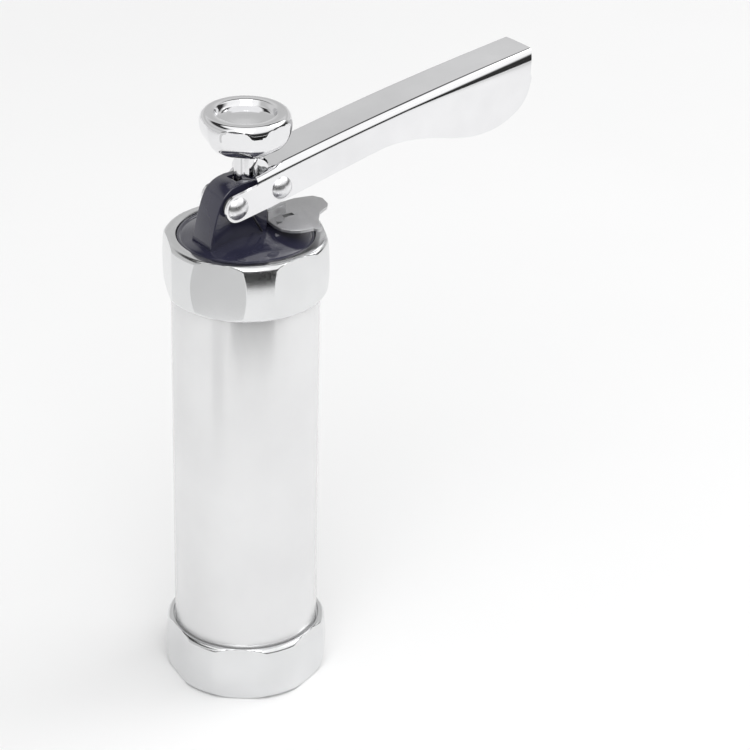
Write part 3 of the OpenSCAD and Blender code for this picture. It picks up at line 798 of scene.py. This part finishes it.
def plunger_rod():
    """Round rod with a saw-tooth rack on the lever's side."""
    azimuths = np.radians(np.concatenate([np.arange(-52, 52.1, 2.6), np.arange(60, 305, 7.0)]))
    z0, z1 = 14.05, KNOB_LOW[2] + 7
    teeth = int((KNOB_LOW[2] - 5 - RACK_Z) // TOOTH_PITCH)
    levels = [(z0, 0.3), (z0 + 0.3, 0.0)]
    for i in range(teeth):
        z = RACK_Z + i * TOOTH_PITCH
        levels += [(z - 0.001, -1), (z, ROD_TOOTH), (z + TOOTH_PITCH * 0.92, -1)]
    levels.append((z1, 0.0))
    verts = []
    for z, depth in levels:
        for a in azimuths:
            if depth == 0.3 and z == z0:
                radius = ROD_R - 0.3
            else:
                flat = ROD_R - max(depth, 0.0)
                radius = min(ROD_R, flat / math.cos(a)) if math.cos(a) > 0.3 else ROD_R
            verts.append((radius * math.cos(a), radius * math.sin(a), z))
    n = len(azimuths)
    faces = []
    for i in range(len(levels) - 1):
        for k in range(n):
            a, b = i * n + k, i * n + (k + 1) % n
            faces.append((a, b, b + n, a + n))
    faces.append(tuple(range(n)))
    faces.append(tuple((len(levels) - 1) * n + k for k in range(n)))
    make_mesh("rod_rack", verts, faces, MATERIALS["rod"], "plunger", "rod_chrome", ["plunger_rod"], sharp=25)


def knob():
    """A bowl cut by six rounded facets that follow its own curve, and a shallow dish in the top."""
    top, low = KNOB_HIGH[2], KNOB_LOW[2]
    foot_r, shoulder_r, shoulder_h = 8.0, 2.4, 4.0
    wide = top - shoulder_h
    first = -138.5

    def side(z):
        """The knob's radius at a height."""
        if z < wide:
            return foot_r + (KNOB_R - foot_r) * math.sqrt(max(0.0, 1 - ((wide - z) / (wide - low)) ** 2))
        return KNOB_R - shoulder_r + shoulder_r * math.sqrt(max(0.0, 1 - ((z - wide) / shoulder_h) ** 2))

    heights = [wide + (wide - low) * math.sin(a) for a in np.radians(np.linspace(-90, 0, 22))]
    heights += [wide + shoulder_h * math.sin(a) for a in np.radians(np.linspace(8, 90, 11))]

    def facet(z):
        """Distance of a facet from the axis at a height; the facets die out in the shoulder."""
        if z < wide:
            return KNOB_FACET * side(z)
        widest = KNOB_FACET * KNOB_R
        return np.interp(z, (wide, wide + 1.5, top - 1), (widest, widest + 0.1, KNOB_R))

    dish = [(11.3, top), (11.0, top - 0.1), (10.75, top - 0.5), (10.45, top - 1.4), (10.0, top - 2.05),
            (9.2, top - 2.32), (6.0, top - 2.2), (3.0, top - 2.0), (0, top - 1.95)]
    profile = [(0, low)] + [(side(z), z) for z in heights] + dish
    half = math.degrees(math.acos(KNOB_FACET))
    creases = [first + 60 * k + turn * half for k in range(6) for turn in (-1, 1)]
    verts, faces = revolve(profile, turn_with_creases(creases, 12, 0.5), flats_at(first, facet, 0.3),
                           closed=False)
    make_mesh("knob_body", verts, faces, MATERIALS["knob"], "plunger", "knob_chrome", ["knob"])


# ---------------------------------------------------------------- everything

barrel_tube()
top_ring_nut()
bottom_ring_nut()
head_disc()
head_tower()
head_boss()
brake_spring()
lever()
far_ear()
rivet("pivot_rivet_body", PIVOT, "lever_pivot_rivet", "barrel", FAR_EAR_Y + LEVER_SHEET + 0.05)
rivet("pawl_rivet_body", PAWL, "pawl_rivet", "lever")
collar("pivot_sleeve", PIVOT, 2.25, 2.9, [(-8.39, -TOWER_HALF)], "barrel", "pivot_spacer")
collar("pawl_sleeves", PAWL, 2.25, 2.9, [(5.2, 8.44), (-8.44, -5.2)], "lever", "pawl_spacers")
springs()
feed_pawl()
selector_plate()
selector_pin()
plunger_rod()
knob()

KEPT_NODES = {"die_disc": "disc", "rod_guide_bush": "bush", "selector_spring_washer": "spring",
              "piston": "piston", "piston_washer": "zinc", "piston_nut": "zinc"}
for node, material in KEPT_NODES.items():
    obj = frame["nodes"][node]
    obj.data.materials.clear()
    obj.data.materials.append(MATERIALS[material])


# ---------------------------------------------------------------- stage, light and camera

def floor():
    material, nodes, link, shader = new_material("stage_floor")
    link(tint(nodes, link, noise(nodes, link, 3), (0.90, 0.90, 0.90), (0.92, 0.92, 0.92)),
         shader.inputs["Base Color"])
    shader.inputs["Roughness"].default_value = 0.8
    shader.inputs["Specular IOR Level"].default_value = 0.1
    mesh = bpy.data.meshes.new("floor")
    reach = 6.0
    mesh.from_pydata([(-reach, -reach, 0), (reach, -reach, 0), (reach, reach, 0), (-reach, reach, 0)], [],
                     [(0, 1, 2, 3)])
    obj = bpy.data.objects.new("floor", mesh)
    bpy.context.scene.collection.objects.link(obj)
    mesh.materials.append(material)


def flag(name, points, grey):
    """A panel of card that only shows in reflections, as on a photographer's table."""
    material, nodes, link, shader = new_material(name + "_card")
    link(tint(nodes, link, noise(nodes, link, 5), (grey,) * 3, (grey * 1.05,) * 3),
         shader.inputs["Base Color"])
    shader.inputs["Roughness"].default_value = 1.0
    shader.inputs["Specular IOR Level"].default_value = 0.0
    count = len(points) // 2
    mesh = bpy.data.meshes.new(name)
    mesh.from_pydata(points, [], [(i, i + 1, count + i + 1, count + i) for i in range(count - 1)])
    mesh.materials.append(material)
    obj = bpy.data.objects.new(name, mesh)
    bpy.context.scene.collection.objects.link(obj)
    obj.visible_camera = obj.visible_diffuse = obj.visible_transmission = obj.visible_shadow = False


def floor_flags():
    """Cards on the table: a dark one behind the camera's side and a pale grey one to its left."""
    for name, first, last, near, far, grey in (("dark_card", -146, -84, 0.5, 1.3, 0.014),
                                               ("far_card", -158, -60, 0.72, 3.0, 0.014),
                                               ("grey_card", -176, -158, 0.27, 1.3, 0.64)):
        turns = np.radians(np.linspace(first, last, 23))
        flag(name, [(r * math.cos(a), r * math.sin(a), 0.002) for r in (near, far) for a in turns], grey)


def area_light(name, place, aim, size, energy):
    """A soft rectangular light that looks at a point, in metres."""
    light = bpy.data.lights.new(name, "AREA")
    light.shape = "RECTANGLE"
    light.size, light.size_y = size
    light.energy = energy
    obj = bpy.data.objects.new(name, light)
    bpy.context.scene.collection.objects.link(obj)
    obj.location = place
    obj.rotation_euler = (Vector(aim) - Vector(place)).to_track_quat("-Z", "Y").to_euler()


def ramp(nodes, link, value, stops):
    """A grey ramp: stops are (position, brightness)."""
    node = nodes.new("ShaderNodeValToRGB")
    elements = node.color_ramp.elements
    while len(elements) < len(stops):
        elements.new(0.5)
    for element, (place, bright) in zip(elements, stops):
        element.position = place
        element.color = (bright, bright, bright, 1)
    link(value, node.inputs["Fac"])
    return node.outputs["Color"]


def world():
    """A soft studio: a broad overhead softbox, dark gaps round it, and pale walls."""
    scene_world = bpy.data.worlds.new("studio")
    bpy.context.scene.world = scene_world
    scene_world.use_nodes = True
    nodes, link = scene_world.node_tree.nodes, scene_world.node_tree.links.new
    where = nodes.new("ShaderNodeTexCoord")
    split = nodes.new("ShaderNodeSeparateXYZ")
    link(where.outputs["Generated"], split.inputs["Vector"])
    # each ramp runs over the sine of the elevation, and a side's share over Y
    behind = ramp(nodes, link, split.outputs["Z"],
                  [(0.0, 0.6), (0.22, 0.62), (0.34, 0.5), (0.42, 0.52), (0.5, 0.64), (0.62, 0.5), (0.68, 0.03),
                   (0.83, 0.03), (0.88, 1.0), (1.0, 1.0)])
    ahead = ramp(nodes, link, split.outputs["Z"],
                 [(0.0, 0.03), (0.24, 0.03), (0.36, 0.9), (0.5, 1.0), (1.0, 1.0)])
    side = nodes.new("ShaderNodeMapRange")
    side.inputs["From Min"].default_value = -0.12
    side.inputs["From Max"].default_value = 0.12
    link(split.outputs["Y"], side.inputs["Value"])
    mix = nodes.new("ShaderNodeMix")
    mix.data_type = "RGBA"
    link(side.outputs["Result"], mix.inputs["Factor"])
    link(ahead, mix.inputs[6])
    link(behind, mix.inputs[7])
    link(mix.outputs[2], nodes["Background"].inputs["Color"])
    nodes["Background"].inputs["Strength"].default_value = 1.15


def camera():
    """The photograph's view: from the left of the lever, looking a little down."""
    bearing, back, height, roll = math.radians(-36), 0.9132, 0.6074, math.radians(1.34)
    aim = Vector((0.03626, -0.02928, 0.12286))
    place = Vector((math.sin(bearing) * back, -math.cos(bearing) * back, height))
    data = bpy.data.cameras.new("camera")
    data.lens = 137.5
    data.sensor_width = 36
    data.clip_start, data.clip_end = 0.05, 30
    obj = bpy.data.objects.new("camera", data)
    bpy.context.scene.collection.objects.link(obj)
    facing = (aim - place).to_track_quat("-Z", "Y").to_matrix().to_4x4()
    obj.matrix_world = Matrix.Translation(place) @ facing @ Matrix.Rotation(roll, 4, "Z")
    bpy.context.scene.camera = obj


floor()
floor_flags()
world()
camera()
area_light("key", (-0.7, -0.9, 1.5), (0, 0, 0.12), (1.2, 1.2), 9)
area_light("fill", (1.2, -0.3, 1.3), (0, 0, 0.12), (1.0, 1.0), 5)
bpy.context.scene.view_settings.view_transform = "Standard"
